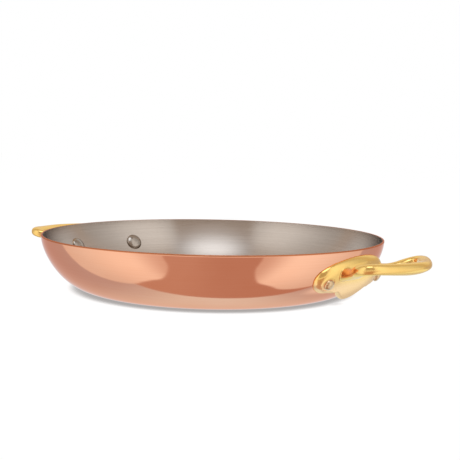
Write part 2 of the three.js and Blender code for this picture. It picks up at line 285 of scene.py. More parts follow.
class Finishes(bpy.types.PropertyGroup):
    """Colours and roughness of the metals"""

    copper: colour("Copper", "Colour of the copper", (0.93, 0.51, 0.335))
    copper_shade: colour("Copper Shade", "Colour of the copper where it has dulled", (0.9, 0.46, 0.285))
    # Painted dark reflection along the top of the rim
    copper_rim_shade: colour("Copper Edge", "Colour of the cut rim", (0.57, 0.19, 0.08))
    copper_glance: colour("Copper Glance", "Tint of the copper seen along its surface", (1, 0.72, 0.62))
    copper_roughness: share("Copper Roughness", "Roughness of the copper", 0.07)
    steel: colour("Steel", "Colour of the lining", (0.63, 0.55, 0.482))
    steel_shade: colour("Steel Shade", "Colour of the lining's darker brush lines", (0.55, 0.472, 0.408))
    steel_glance: colour("Steel Glance", "Tint of the lining seen along its surface", (0.58, 0.58, 0.59))
    steel_roughness: share("Steel Roughness", "Roughness of the lining", 0.3)
    steel_brushing: share("Steel Brushing", "How far the brushing draws out what is mirrored", 0.92)
    brass: colour("Brass", "Colour of the handles", (0.99, 0.66, 0.215))
    brass_shade: colour("Brass Shade", "Colour of the handles where they have dulled", (0.93, 0.59, 0.165))
    # Painted shade deep in the handles' corners
    brass_painted_shade: colour("Brass Hollow", "Colour of the handles deep in their corners", (0.69, 0.4, 0.105))
    # Painted pale reflection of the table at the foot of the plates
    brass_foot_sheen: colour("Brass Tongue", "Colour at the foot of the handles' plates", (1, 0.66, 0.365))
    brass_glance: colour("Brass Glance", "Tint of the brass seen along its surface", (1, 0.88, 0.66))
    brass_roughness: share("Brass Roughness", "Roughness of the handles", 0.19)
    rivet: colour("Rivet", "Colour of the rivets", (0.48, 0.405, 0.34))
    rivet_outside: colour("Rivet Outside", "Colour of the rivets' set ends", (0.8, 0.56, 0.32))
    rivet_roughness: share("Rivet Roughness", "Roughness of the rivets", 0.16)


class Studio(bpy.types.PropertyGroup):
    """Camera, table and light"""

    azimuth: angle("Azimuth", "Turn of the camera about the pan, from looking along +Y", 38.837)
    elevation: angle("Elevation", "Height of the camera above level, seen from the pan", 5.867)
    distance: length("Distance", "From the middle of the rim to the camera", 625.93 * MM)
    yaw: angle("Yaw", "Turn of the camera to its right", 1.171)
    pitch: angle("Pitch", "Tilt of the camera upwards", 0.281)
    roll: angle("Roll", "Roll of the camera", 1.094)
    lens: optic("Lens", "Focal length in millimetres", 63.357)
    sensor: optic("Sensor", "Width of the sensor in millimetres", 36)
    table_radius: length("Table Radius", "Radius of the round table", 8)
    table_thickness: length("Table Thickness", "Thickness of the table", 10 * MM)
    table_colour: colour("Table Colour", "Colour of the table under its glow", (0.1, 0.1, 0.1))
    table_roughness: share("Table Roughness", "Roughness of the table", 0.9)
    contact_reach: length("Contact Reach", "How far the pan darkens the table where it stands", 8 * MM)
    softbox_near: angle("Softbox Near Edge", "Turn from the camera to a softbox's near edge", 32)
    softbox_far: angle("Softbox Far Edge", "Turn from the camera to a softbox's far edge", 113)
    softbox_top: angle("Softbox Top", "Elevation of a softbox's top edge", 62)
    softbox_corner: angle("Softbox Corner", "Rounding of a softbox's corners", 27)
    room_shade: colour("Room Shade", "Colour of the room behind the camera", (0.52, 0.44, 0.385))
    room_behind: colour("Room Behind", "Colour of the room beyond the softboxes", (0.65, 0.56, 0.485))
    top_light: colour("Top Light", "Colour and strength of the light overhead", (2.28, 2.5, 2.76), 10)
    table_shade: colour("Table Shade", "What the table shows of the room's left", (0.6, 0.405, 0.35))
    table_dark: colour("Table Dark", "What the table shows of the room's right", (0.545, 0.34, 0.285))
    table_behind: colour("Table Behind", "What the table shows right behind the pan", (0.8, 0.92, 1))
    table_aside: colour("Table Aside", "What the table shows further to the sides", (0.56, 0.52, 0.58))
    card: colour("Card", "Colour of the card to the right of the pan", (0.98, 1.1, 1.18), 2)
    lamp_height: length("Lamp Height", "Height of the lamp over the table", 1.6)
    lamp_size: length("Lamp Size", "Width of the lamp over the table", 1.4)
    lamp_power: FloatProperty(name="Lamp Power", description="Power of the lamp", default=4, unit="POWER")


# Meshes

def new_piece(name, mesh):
    """An object in the scene for a mesh."""
    piece = bpy.data.objects.new(name, mesh)
    bpy.context.scene.collection.objects.link(piece)
    return piece


def mesh_of(name, vertices, faces):
    """A mesh from lists of points and faces, with its faces turned outwards."""
    mesh = bpy.data.meshes.new(name)
    mesh.from_pydata([tuple(vertex) for vertex in vertices], [], faces)
    work = bmesh.new()
    work.from_mesh(mesh)
    bmesh.ops.remove_doubles(work, verts=work.verts, dist=MERGE_DISTANCE)
    bmesh.ops.recalc_face_normals(work, faces=work.faces)
    work.to_mesh(mesh)
    work.free()
    mesh.shade_smooth()
    return mesh


def lathe(name, profile, segments):
    """A mesh turned about Z from (radius, height) points that start and end on the axis."""
    ring_points = profile[1:-1]
    vertices = [Vector((0, 0, profile[0][1])), Vector((0, 0, profile[-1][1]))]
    for step in range(segments):
        turn = 2 * math.pi * step / segments
        vertices += [Vector((r * math.cos(turn), r * math.sin(turn), z)) for r, z in ring_points]
    faces = []
    rows = len(ring_points)
    for step in range(segments):
        here = 2 + step * rows
        there = 2 + (step + 1) % segments * rows
        faces.append((0, there, here))
        faces += [(here + i, there + i, there + i + 1, here + i + 1) for i in range(rows - 1)]
        faces.append((1, here + rows - 1, there + rows - 1))
    return mesh_of(name, vertices, faces)


def loft(name, rings, capped):
    """A mesh through rings of equal count, closed by a face at each end where capped."""
    size = len(rings[0])
    vertices = [point for ring in rings for point in ring]
    faces = []
    for row in range(len(rings) - 1):
        for i in range(size):
            a, b = row * size + i, row * size + (i + 1) % size
            faces.append((a, b, b + size, a + size))
    if capped:
        last = (len(rings) - 1) * size
        faces.append(tuple(range(size)))
        faces.append(tuple(range(last, last + size)))
    return mesh_of(name, vertices, faces)


def bezier(points, steps):
    """Points along the curve that three or four points steer, without its last one."""
    path = []
    for step in range(steps):
        row = [Vector(point) for point in points]
        while len(row) > 1:
            row = [a.lerp(b, step / steps) for a, b in zip(row, row[1:])]
        path += row
    return path


def arc(centre, radii, start, end, steps):
    """Points along an arc of an ellipse in a plane, with both ends."""
    points = []
    for step in range(steps + 1):
        turn = start + (end - start) * step / steps
        x = centre[0] + radii[0] * math.cos(turn)
        y = centre[1] + radii[1] * math.sin(turn)
        points.append(Vector((x, y)))
    return points


def respaced(path, size):
    """The same path with size points at equal distances."""
    lengths = [0]
    for a, b in zip(path, path[1:]):
        lengths.append(lengths[-1] + (b - a).length)
    spaced = []
    for step in range(size):
        goal = lengths[-1] * step / (size - 1)
        i = max(k for k in range(len(path) - 1) if lengths[k] <= goal + TINY)
        part = (goal - lengths[i]) / (lengths[i + 1] - lengths[i])
        spaced.append(path[i].lerp(path[i + 1], min(part, 1)))
    return spaced


def smooth_step(low, high, value):
    """0 below low, 1 above high, and an even rise between."""
    t = min(max((value - low) / (high - low), 0), 1)
    return t * t * (3 - 2 * t)


def with_modifier(piece, kind, **values):
    """Gives the piece a modifier and applies it."""
    modifier = piece.modifiers.new(kind, kind)
    for key, value in values.items():
        setattr(modifier, key, value)
    evaluated = piece.evaluated_get(bpy.context.evaluated_depsgraph_get())
    mesh = bpy.data.meshes.new_from_object(evaluated)
    piece.modifiers.clear()
    old = piece.data
    piece.data = mesh
    bpy.data.meshes.remove(old)
    mesh.name = piece.name


def cut(piece, cutter):
    """Takes the cutter's solid out of the piece and deletes the cutter."""
    with_modifier(piece, "BOOLEAN", operation="DIFFERENCE", object=cutter, solver="EXACT")
    bpy.data.objects.remove(cutter)


def settle(piece, material, node):
    """Gives a finished piece its material and hands it to the frame in place of a CAD node."""
    if not piece.data.polygons:
        raise RuntimeError(f"{piece.name} has no faces")
    piece.data.materials.clear()
    piece.data.materials.append(material)
    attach(piece, "root")
    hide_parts(node)


# Wall of the pan

def wall_at(pan, t, offset):
    """(point, normal) of the wall's half section, at share t from base to rim, offset from the copper."""
    a = Vector((pan.base_radius, 0))
    b = Vector((pan.base_radius + pan.foot_sweep, 0))
    c = Vector((pan.rim_radius, pan.height - pan.rim_rise))
    d = Vector((pan.rim_radius, pan.height))
    s = 1 - t
    point = a * s**3 + b * (3 * s * s * t) + c * (3 * s * t * t) + d * t**3
    tangent = ((b - a) * (s * s) + (c - b) * (2 * s * t) + (d - c) * (t * t)).normalized()
    normal = Vector((tangent.y, -tangent.x))
    return point + normal * offset, normal


def wall_share(pan, height):
    """The share t at which the outside of the copper has that height."""
    low, high = 0, 1
    for _ in range(HEIGHT_SEARCH):
        middle = (low + high) / 2
        if wall_at(pan, middle, 0)[0].y < height:
            low = middle
        else:
            high = middle
    return low


def wall_profile(pan, offset, top):
    """(radius, height) points up the wall at an offset, to share top."""
    return [tuple(wall_at(pan, top * i / pan.wall_steps, offset)[0]) for i in range(pan.wall_steps + 1)]


def dish(name, pan, outer, inner, top=1):
    """A solid of the wall's shape between two offsets, up to share top."""
    outside = wall_profile(pan, outer, top)
    inside = wall_profile(pan, inner, top)
    return lathe(name, [(0, -outer), *outside, *reversed(inside), (0, -inner)], pan.segments)


def full_wall(pan):
    """Thickness of copper, bond and lining together."""
    return pan.copper_wall + pan.bond_gap + pan.lining_wall


def rivet_radius(pan):
    """Radius of the copper's outside at the height of the rivets."""
    return wall_at(pan, wall_share(pan, pan.rivet_height), 0)[0].x


def rivet_reach(pan):
    """Distance round the wall from a handle's middle to its rivets."""
    return rivet_radius(pan) * pan.rivet_angle


def rivet_matrix(pan, handle, end):
    """Frame of a right rivet, at the front (-1) or rear (+1): z runs out along its shank."""
    height = pan.rivet_height - end * rivet_reach(pan) * math.tan(handle.tilt)
    point, normal = wall_at(pan, wall_share(pan, height), 0)
    out = Vector((normal.x, 0, normal.y))
    along = Vector((0, 1, 0))
    matrix = Matrix((along, out.cross(along), out)).transposed().to_4x4()
    matrix.translation = Vector((point.x, 0, point.y))
    return Matrix.Rotation(end * pan.rivet_angle, 4, "Z") @ matrix


def rivet_rod(pan, handle, end, radius, start, stop):
    """A cutter along a right rivet's axis."""
    profile = [(0, start), (radius, start), (radius, stop), (0, stop)]
    rod = new_piece("rod", lathe("rod", profile, HOLE_SEGMENTS))
    rod.data.transform(rivet_matrix(pan, handle, end))
    return rod


def mirrored(mesh):
    """A copy of a mesh on the pan's left."""
    copy = mesh.copy()
    copy.transform(Matrix.Diagonal((-1, 1, 1, 1)))
    copy.flip_normals()
    return copy


def drill(piece, scene):
    """Drills the pan's wall for all the rivets."""
    pan, rivets, handle = scene.pan_shape, scene.pan_rivets, scene.pan_handles
    deep = rivets.head_radius
    for end in (-1, 1):
        rod = rivet_rod(pan, handle, end, rivets.hole_radius, -deep, deep)
        left = new_piece("left_rod", mirrored(rod.data))
        cut(piece, rod)
        cut(piece, left)
    piece.data.set_sharp_from_angle(angle=SHARP_EDGE)


# Nodes

def add_node(tree, kind, inputs=None, **settings):
    """A new node with its settings and inputs, which are values or sockets to link."""
    node = tree.nodes.new(kind)
    for key, value in settings.items():
        setattr(node, key, value)
    for key, value in (inputs or {}).items():
        if isinstance(value, bpy.types.NodeSocket):
            tree.links.new(value, node.inputs[key])
        else:
            node.inputs[key].default_value = value
    return node


def math_node(tree, operation, a, b=0.0):
    """Socket of a Math node."""
    return add_node(tree, "ShaderNodeMath", {0: a, 1: b}, operation=operation).outputs[0]


def product(tree, first, *others):
    """Socket of several sockets multiplied together."""
    for other in others:
        first = math_node(tree, "MULTIPLY", first, other)
    return first


def vector_node(tree, operation, inputs):
    """Outputs of a Vector Math node."""
    return add_node(tree, "ShaderNodeVectorMath", inputs, operation=operation).outputs


def ramp_between(tree, value, low, high, low_out, high_out):
    """Socket that runs from low_out to high_out as value runs from low to high."""
    inputs = {"Value": value, "From Min": low, "From Max": high, "To Min": low_out, "To Max": high_out}
    return add_node(tree, "ShaderNodeMapRange", inputs, interpolation_type="SMOOTHSTEP").outputs[0]


def mixed_colour(tree, factor, a, b, blend="MIX"):
    """Socket of a colour between a and b."""
    inputs = {0: factor, 6: a, 7: b}
    return add_node(tree, "ShaderNodeMix", inputs, data_type="RGBA", blend_type=blend).outputs[2]


def openness(tree, distance):
    """Socket that is 1 in the open and falls where other surfaces stand within a distance."""
    inputs = {"Distance": distance}
    return add_node(tree, "ShaderNodeAmbientOcclusion", inputs, samples=OPENNESS_SAMPLES).outputs["AO"]


def rgba(value):
    """A colour with full alpha."""
    return (*value, 1)


# Finishes

def metal(name, roughness):
    """A new metal material, its node tree and its shader."""
    material = bpy.data.materials.new(name)
    material.use_nodes = True
    tree = material.node_tree
    shader = tree.nodes["Principled BSDF"]
    shader.inputs["Metallic"].default_value = 1
    shader.inputs["Roughness"].default_value = roughness
    return material, tree, shader


def place_on_pan(tree):
    """Sockets of a point's offset from the pan's axis, its distance from the axis and its height."""
    place = add_node(tree, "ShaderNodeTexCoord").outputs["Object"]
    offset = vector_node(tree, "MULTIPLY", {0: place, 1: (1, 1, 0)})[0]
    distance = vector_node(tree, "LENGTH", {0: offset})["Value"]
    height = add_node(tree, "ShaderNodeSeparateXYZ", {0: place}).outputs[2]
    return offset, distance, height


def turned_lines(tree, fineness, around):
    """Noise in rings about the pan's axis: fineness is lines per metre, around how fast they fade."""
    offset, distance, height = place_on_pan(tree)
    heading = vector_node(tree, "NORMALIZE", {0: offset})[0]
    heading = vector_node(tree, "SCALE", {0: heading, "Scale": around})[0]
    heading = add_node(tree, "ShaderNodeSeparateXYZ", {0: heading}).outputs
    along = math_node(tree, "MULTIPLY", math_node(tree, "ADD", distance, height), fineness)
    vector = add_node(tree, "ShaderNodeCombineXYZ", {0: heading[0], 1: heading[1], 2: along}).outputs[0]
    inputs = {"Vector": vector, "Scale": 1, "Detail": LINE_DETAIL}
    return add_node(tree, "ShaderNodeTexNoise", inputs).outputs["Fac"]


def soft_patches(tree, scale):
    """Slow noise over a surface, scale patches per metre."""
    place = add_node(tree, "ShaderNodeTexCoord").outputs["Object"]
    inputs = {"Vector": place, "Scale": scale, "Detail": PATCH_DETAIL}
    return add_node(tree, "ShaderNodeTexNoise", inputs).outputs["Fac"]


def uneven(tree, noise, roughness, least, most):
    """Socket of a roughness that a noise changes between two multiples of it."""
    return ramp_between(tree, noise, *NOISE_SPAN, roughness * least, roughness * most)


def dress(tree, shader, base, rough, height, bump):
    """Gives the shader its colour and roughness, and a bump from a height socket."""
    strength, distance = bump
    inputs = {"Height": height, "Strength": strength, "Distance": distance}
    normal = add_node(tree, "ShaderNodeBump", inputs).outputs[0]
    for name, socket in (("Base Color", base), ("Roughness", rough), ("Normal", normal)):
        tree.links.new(socket, shader.inputs[name])


def copper_material(finish, rim_height):
    """Polished copper with faint rings from spinning, slow changes of tone and a painted dark reflection
    along the rim.
    """
    material, tree, shader = metal("polished_copper", finish.copper_roughness)
    lines = turned_lines(tree, *SPIN_LINES)
    tone = ramp_between(tree, soft_patches(tree, COPPER_PATCHES), *COPPER_DULLING)
    tone = math_node(tree, "ADD", tone, ramp_between(tree, lines, *COPPER_STREAKS))
    base = mixed_colour(tree, tone, rgba(finish.copper), rgba(finish.copper_shade))
    height = place_on_pan(tree)[2]
    # The rim band carries a painted dark reflection, and adds real roughness
    rim = ramp_between(tree, height, rim_height - RIM_BAND, rim_height - RIM_BAND_FULL, 0, 1)
    base = mixed_colour(tree, rim, base, rgba(finish.copper_rim_shade))
    rough = uneven(tree, lines, finish.copper_roughness, *COPPER_POLISH)
    rough = math_node(tree, "ADD", rough, math_node(tree, "MULTIPLY", rim, RIM_ROUGHNESS))
    shader.inputs["Specular Tint"].default_value = rgba(finish.copper_glance)
    dress(tree, shader, base, rough, lines, COPPER_BUMP)
    return material


def lining_material(finish):
    """Steel brushed round the pan, so that what it shows is drawn out up and down."""
    material, tree, shader = metal("brushed_steel", finish.steel_roughness)
    fine = turned_lines(tree, *FINE_BRUSHING)
    broad = turned_lines(tree, *BROAD_BRUSHING)
    tone = math_node(tree, "MULTIPLY", math_node(tree, "ADD", fine, broad), 0.5)
    tone = ramp_between(tree, tone, *NOISE_SPAN, 0, 1)
    base = mixed_colour(tree, tone, rgba(finish.steel_shade), rgba(finish.steel))
    rough = uneven(tree, fine, finish.steel_roughness, *STEEL_POLISH)
    shader.inputs["Specular Tint"].default_value = rgba(finish.steel_glance)
    shader.inputs["Anisotropic"].default_value = finish.steel_brushing
    shader.inputs["Anisotropic Rotation"].default_value = QUARTER_TURN
    tangent = add_node(tree, "ShaderNodeTangent", direction_type="RADIAL", axis="Z").outputs[0]
    tree.links.new(tangent, shader.inputs["Tangent"])
    dress(tree, shader, base, rough, fine, STEEL_BUMP)
    return material


def brass_material(finish):
    """Polished cast brass, slightly uneven from polishing, with painted shade in its corners and painted
    pale reflection at the foot.
    """
    material, tree, shader = metal("polished_brass", finish.brass_roughness)
    patches = soft_patches(tree, BRASS_PATCHES)
    grain = soft_patches(tree, BRASS_GRAIN)
    tone = ramp_between(tree, patches, *BRASS_DULLING)
    base = mixed_colour(tree, tone, rgba(finish.brass), rgba(finish.brass_shade))
    # Painted shade and painted reflection of the brass itself, darker where other surfaces close in
    painted_shade = ramp_between(tree, openness(tree, BRASS_SHADE_REACH), *BRASS_PAINTED_SHADE)
    base = mixed_colour(tree, painted_shade, base, rgba(finish.brass_painted_shade))
    # Painted pale reflection of the table, strongest at the foot of the plates
    foot = ramp_between(tree, place_on_pan(tree)[2], *BRASS_FOOT_SHEEN)
    base = mixed_colour(tree, foot, base, rgba(finish.brass_foot_sheen))
    rough = uneven(tree, grain, finish.brass_roughness, *BRASS_POLISH)
    shader.inputs["Specular Tint"].default_value = rgba(finish.brass_glance)
    dress(tree, shader, base, rough, patches, BRASS_BUMP)
    return material


def rivet_material(finish, wall_radius):
    """Steel with small marks from setting, warmer outside the pan."""
    material, tree, shader = metal("rivet_steel", finish.rivet_roughness)
    marks = soft_patches(tree, RIVET_MARKS)
    distance = place_on_pan(tree)[1]
    outside = ramp_between(tree, distance, wall_radius - RIVET_FADE, wall_radius + RIVET_FADE, 0, 1)
    base = mixed_colour(tree, outside, rgba(finish.rivet), rgba(finish.rivet_outside))
    base = mixed_colour(tree, ramp_between(tree, marks, *RIVET_STAINS), base, BLACK)
    rough = uneven(tree, marks, finish.rivet_roughness, *RIVET_POLISH)
    dress(tree, shader, base, rough, marks, RIVET_BUMP)
    return material


# Handle

def plate_edges(pan, handle):
    """Right half of the plate's lower and upper edge, in (distance round the wall, height) points."""
    normal = wall_at(pan, wall_share(pan, pan.rivet_height), 0)[1]
    lobe = (rivet_reach(pan), pan.rivet_height)
    radii = (handle.lobe_radius, handle.lobe_radius * normal.x)

    # Lower edge: tongue, notch, lobe
    foot = Vector((0, handle.tongue_foot))
    notch = Vector((handle.tongue_width / 2, handle.notch_height))
    flank = (notch.x * (1 - TONGUE_FLATNESS), foot.y + (notch.y - foot.y) * TONGUE_ROUNDING)
    lobe_foot = (lobe[0], lobe[1] - radii[1])
    lead = ((lobe[0] + notch.x) / 2, lobe_foot[1])
    tongue = bezier((foot, (notch.x * TONGUE_FLATNESS, foot.y), flank, notch), OUTLINE_STEPS)
    valley = bezier((notch, lead, lead, lobe_foot), OUTLINE_STEPS)
    lower = tongue + valley + arc(lobe, radii, -math.pi / 2, 0, OUTLINE_STEPS)

    # Upper edge: arch and shoulder, down to the lobe's end
    top = Vector((0, pan.height - handle.plate_drop))
    shoulder = arc(lobe, radii, LOBE_SHOULDER, 0, OUTLINE_STEPS)
    start = shoulder[0]
    rising = Vector((-math.sin(LOBE_SHOULDER), math.cos(LOBE_SHOULDER)))
    full = start + rising * (handle.lobe_radius * SHOULDER_FULLNESS)
    arch = bezier((top, (start.x * ARCH_FLATNESS, top.y), full, start), 3 * OUTLINE_STEPS)
    return lower, respaced(arch + shoulder, len(lower))


def plate_rings(pan, rivets, handle):
    """Rings of points from the middle of the plate's back, round its edge, to the middle of its front."""
    lower, upper = plate_edges(pan, handle)
    spine = [Vector((SPINE_SHARE * (a.x + b.x) / 2, pan.rivet_height)) for a, b in zip(lower, upper)]
    lobed = [smooth_step(OUTLINE_STEPS, 2 * OUTLINE_STEPS, i) for i in range(len(lower))]

    def around(low, high):
        """Both halves of a ring, from one quarter below and one above."""
        right = [*low, *reversed(high[:-1])]
        return right, [*reversed(right[1:-1])]

    def both_sides(low, high):
        """A whole ring, its left half mirrored from the right."""
        right, left = around(low, high)
        return right + [Vector((-point.x, point.y)) for point in left]

    outline = both_sides(lower, upper)
    middle = both_sides(spine, spine)
    right, left = around(lobed, [1.0] * len(lobed))
    edges = [handle.tongue_edge + (handle.lobe_edge - handle.tongue_edge) * part for part in right + left]
    wall_radius = rivet_radius(pan)

    def on_wall(point, offset):
        """The place in space of a flat point, laid round the wall."""
        turn = point.x / wall_radius
        height = point.y - point.x * math.tan(handle.tilt)
        place = wall_at(pan, wall_share(pan, height), offset)[0]
        return Vector((place.x * math.cos(turn), place.x * math.sin(turn), place.y))

    def ring(inset, offset):
        """The outline drawn in towards the middle line, at an offset from the wall."""
        points = []
        for rim, centre, edge in zip(outline, middle, edges):
            span = (centre - rim).length
            points.append(on_wall(rim.lerp(centre, inset(span, min(edge, span)) / span), offset))
        return points

    back = rivets.seat_gap
    front = back + handle.plate_thickness
    rings = [ring(lambda span, edge, i=i: span * i / FACE_STEPS, back) for i in range(FACE_STEPS, -1, -1)]
    for i in range(EDGE_STEPS + 1):
        turn = math.pi / 2 * i / EDGE_STEPS
        offset = back + handle.plate_thickness * math.sin(turn)
        rings.append(ring(lambda span, edge, part=1 - math.cos(turn): edge * part, offset))
    for i in range(1, FACE_STEPS + 1):
        rings.append(ring(lambda span, edge, part=i / FACE_STEPS: edge + (span - edge) * part, front))
    return rings


def loop_path(pan, handle):
    """Points along the middle of the bar, from the rear root round the grip to the front one."""
    rim = pan.rim_radius
    root = Vector((rivet_radius(pan), handle.root_spacing / 2, handle.root_height))
    arm = Vector((rim + handle.arm_reach, handle.arm_spacing / 2, handle.arm_height))
    bend = Vector((rim + handle.grip_reach, handle.grip_flat / 2, handle.grip_height))
    tip = Vector((rim + handle.grip_reach, 0, handle.grip_height))

    def half_loop(skew):
        """The rear half, with its corner moved out and aside."""
        corner = Vector((rim + handle.corner_reach, handle.corner_spacing / 2, handle.corner_height))
        corner += Vector((skew, skew, 0))
        inner = corner + (arm - corner).normalized() * handle.corner_rounding
        outer = corner + (bend - corner).normalized() * handle.corner_rounding
        curves = (root, arm, inner), (inner, corner, outer), (outer, bend, tip)
        return [point for points in curves for point in bezier(points, LOOP_STEPS)]

    front = [Vector((point.x, -point.y, point.z)) for point in reversed(half_loop(handle.corner_skew))]
    return respaced(half_loop(-handle.corner_skew) + [tip] + front, 4 * LOOP_STEPS + 1)


def off_wall(pan, point, clearance):
    """The point, moved out along the wall's normal until it is at least clearance from the copper."""
    radius = math.hypot(point.x, point.y)
    flat = Vector((radius, point.z))
    if radius > pan.rim_radius + clearance:
        return point
    low, high = 0, 1
    for _ in range(GAP_SEARCH):
        thirds = low + (high - low) / 3, high - (high - low) / 3
        gaps = [(wall_at(pan, t, 0)[0] - flat).length for t in thirds]
        if gaps[0] < gaps[1]:
            high = thirds[1]
        else:
            low = thirds[0]
    foot, normal = wall_at(pan, low, 0)
    gap = (flat - foot).dot(normal)
    if gap >= clearance:
        return point
    flat += normal * (clearance - gap)
    return Vector((point.x * flat.x / radius, point.y * flat.x / radius, flat.y))


def loop_rings(pan, rivets, handle, loop_tilt):
    """Rings of points along the loop, flared at its roots, swelling and rolled towards the grip."""
    path = loop_path(pan, handle)
    middle = Vector((0, 0, pan.rivet_height))
    tilt = Matrix.Translation(middle) @ Matrix.Rotation(-loop_tilt, 4, "X") @ Matrix.Translation(-middle)
    clearance = rivets.seat_gap + handle.plate_thickness / 2
    rings = []
    for i, centre in enumerate(path):
        ahead = path[min(i + 1, len(path) - 1)] - path[max(i - 1, 0)]
        across = Vector((0, 0, 1)).cross(ahead).normalized()
        to_grip = 1 - abs(2 * i / (len(path) - 1) - 1)
        flare = handle.root_flare * max(0, 1 - to_grip / FLARE_SHARE) ** 2
        swell = smooth_step(SWELL_START, 1, to_grip)
        across.rotate(Matrix.Rotation(handle.grip_roll * swell, 3, ahead))
        above = ahead.cross(across).normalized()
        width = handle.arm_width + (handle.grip_width - handle.arm_width) * swell + flare
        thickness = handle.arm_thickness + (handle.grip_thickness - handle.arm_thickness) * swell + flare
        ring = []
        for k in range(BAR_SIDES):
            turn = 2 * math.pi * k / BAR_SIDES
            cosine, sine = math.cos(turn), math.sin(turn)
            x = math.copysign(abs(cosine) ** BAR_ROUNDING, cosine) * width / 2
            y = math.copysign(abs(sine) ** BAR_ROUNDING, sine) * thickness / 2 + flare / 2
            ring.append(off_wall(pan, tilt @ (centre + across * x + above * y), clearance))
        rings.append(ring)
    return rings


def handle_mesh(pan, rivets, handle, loop_tilt):
    """The casting: plate and loop grown together, with eased corners, cut and drilled for its rivets."""
    plate = loft("plate", plate_rings(pan, rivets, handle), False)
    loop = loft("loop", loop_rings(pan, rivets, handle, loop_tilt), True)
    work = bmesh.new()
    work.from_mesh(plate)
    work.from_mesh(loop)
    blank = bpy.data.meshes.new("handle")
    work.to_mesh(blank)
    work.free()
    casting = new_piece("casting", blank)
    with_modifier(casting, "REMESH", mode="VOXEL", voxel_size=handle.casting_grain)
    with_modifier(casting, "SMOOTH", factor=CASTING_EASE, iterations=handle.casting_passes)
    face = rivets.seat_gap + handle.plate_thickness
    for end in (-1, 1):
        cut(casting, rivet_rod(pan, handle, end, handle.spot_radius, face - handle.spot_depth, 2 * face))
        cut(casting, rivet_rod(pan, handle, end, rivets.hole_radius, -face, 2 * face))
    mesh = casting.data
    mesh.shade_smooth()
    mesh.set_sharp_from_angle(angle=SHARP_EDGE)
    bpy.data.objects.remove(casting)
    return mesh


# Rivets

def rivet_profile(rivets, handle, seat):
    """(radius, height) points of a rivet, from its head inside the pan to its set end outside."""
    bowl = (rivets.head_radius, rivets.head_height - rivets.head_edge)
    dome = arc((0, seat - rivets.head_edge), bowl, -math.pi / 2, 0, DOME_STEPS)
    peen_seat = 2 * rivets.seat_gap + handle.plate_thickness - handle.spot_depth
    crown = (rivets.peen_radius, rivets.peen_height - rivets.peen_edge)
    peen = arc((0, peen_seat + rivets.peen_edge), crown, 0, math.pi / 2, PEEN_STEPS)
    return [
        (0, dome[0].y),
        *map(tuple, dome[1:]),
        (rivets.head_radius, 0),
        (rivets.shank_radius, 0),
        (rivets.shank_radius, peen_seat),
        (rivets.peen_radius, peen_seat),
        *map(tuple, peen[:-1]),
        (0, peen[-1].y),
    ]


# Operators

class PAN_OT_shell(bpy.types.Operator):
    """Spin the copper pan, with a rounded rim, and drill it"""

    bl_idname = "pan.shell"
    bl_label = "Copper Shell"

    def execute(self, context):
        pan = context.scene.pan_shape
        rim = pan.copper_wall / 2
        top = wall_share(pan, pan.height - rim)
        crown = arc((pan.rim_radius - rim, pan.height - rim), (rim, rim), 0, math.pi, RIM_STEPS)
        outside = wall_profile(pan, 0, top)[:-1]
        inside = wall_profile(pan, -pan.copper_wall, top)[:-1]
        profile = [(0, 0), *outside, *map(tuple, crown), *reversed(inside), (0, pan.copper_wall)]
        shell = new_piece("pan_shell", lathe("pan_shell", profile, pan.segments))
        drill(shell, context.scene)
        settle(shell, copper_material(context.scene.pan_finishes, pan.height), "copper_shell")
        return {"FINISHED"}


class PAN_OT_lining(bpy.types.Operator):
    """Lay the thin steel lining inside the copper and drill it"""

    bl_idname = "pan.lining"
    bl_label = "Steel Lining"

    def execute(self, context):
        pan = context.scene.pan_shape
        top = wall_share(pan, pan.height - pan.lining_drop)
        mesh = dish("pan_lining", pan, -(pan.copper_wall + pan.bond_gap), -full_wall(pan), top)
        lining = new_piece("pan_lining", mesh)
        drill(lining, context.scene)
        settle(lining, lining_material(context.scene.pan_finishes), "steel_lining")
        return {"FINISHED"}


class PAN_OT_handles(bpy.types.Operator):
    """Cast the loop handle and set one on each side of the pan"""

    bl_idname = "pan.handles"
    bl_label = "Brass Handles"

    def execute(self, context):
        scene = context.scene
        shapes = scene.pan_shape, scene.pan_rivets, scene.pan_handles
        material = brass_material(scene.pan_finishes)
        right = handle_mesh(*shapes, scene.pan_handles.right_tilt)
        left = mirrored(handle_mesh(*shapes, scene.pan_handles.left_tilt))
        for node, mesh in (("handle_right", right), ("handle_left", left)):
            handle = new_piece(f"brass_{node}", mesh)
            handle.visible_glossy = False
            settle(handle, material, node)
        return {"FINISHED"}


class PAN_OT_rivets(bpy.types.Operator):
    """Turn the rivets, shape their heads to the wall and set one in each hole"""

    bl_idname = "pan.rivets"
    bl_label = "Rivets"

    def execute(self, context):
        scene = context.scene
        pan, rivets, handle = scene.pan_shape, scene.pan_rivets, scene.pan_handles
        seat = -(full_wall(pan) + rivets.seat_gap)
        profile = rivet_profile(rivets, handle, seat)
        material = rivet_material(scene.pan_finishes, rivet_radius(pan))
        for place, end in (("front", -1), ("rear", 1)):
            rivet = new_piece(f"steel_rivet_right_{place}", lathe("rivet", profile, RIVET_SEGMENTS))
            rivet.data.transform(rivet_matrix(pan, handle, end))
            wall = new_piece("wall", dish("wall", pan, rivets.seat_gap, seat))
            cut(wall, rivet_rod(pan, handle, end, rivets.shank_radius, 2 * seat, -2 * seat))
            cut(rivet, wall)
            rivet.data.shade_smooth()
            rivet.data.set_sharp_from_angle(angle=RIVET_SHARP_EDGE)
            other = new_piece(f"steel_rivet_left_{place}", mirrored(rivet.data))
            for piece, side in ((rivet, "right"), (other, "left")):
                piece.visible_glossy = False
                settle(piece, material, f"rivet_{side}_{place}")
        return {"FINISHED"}


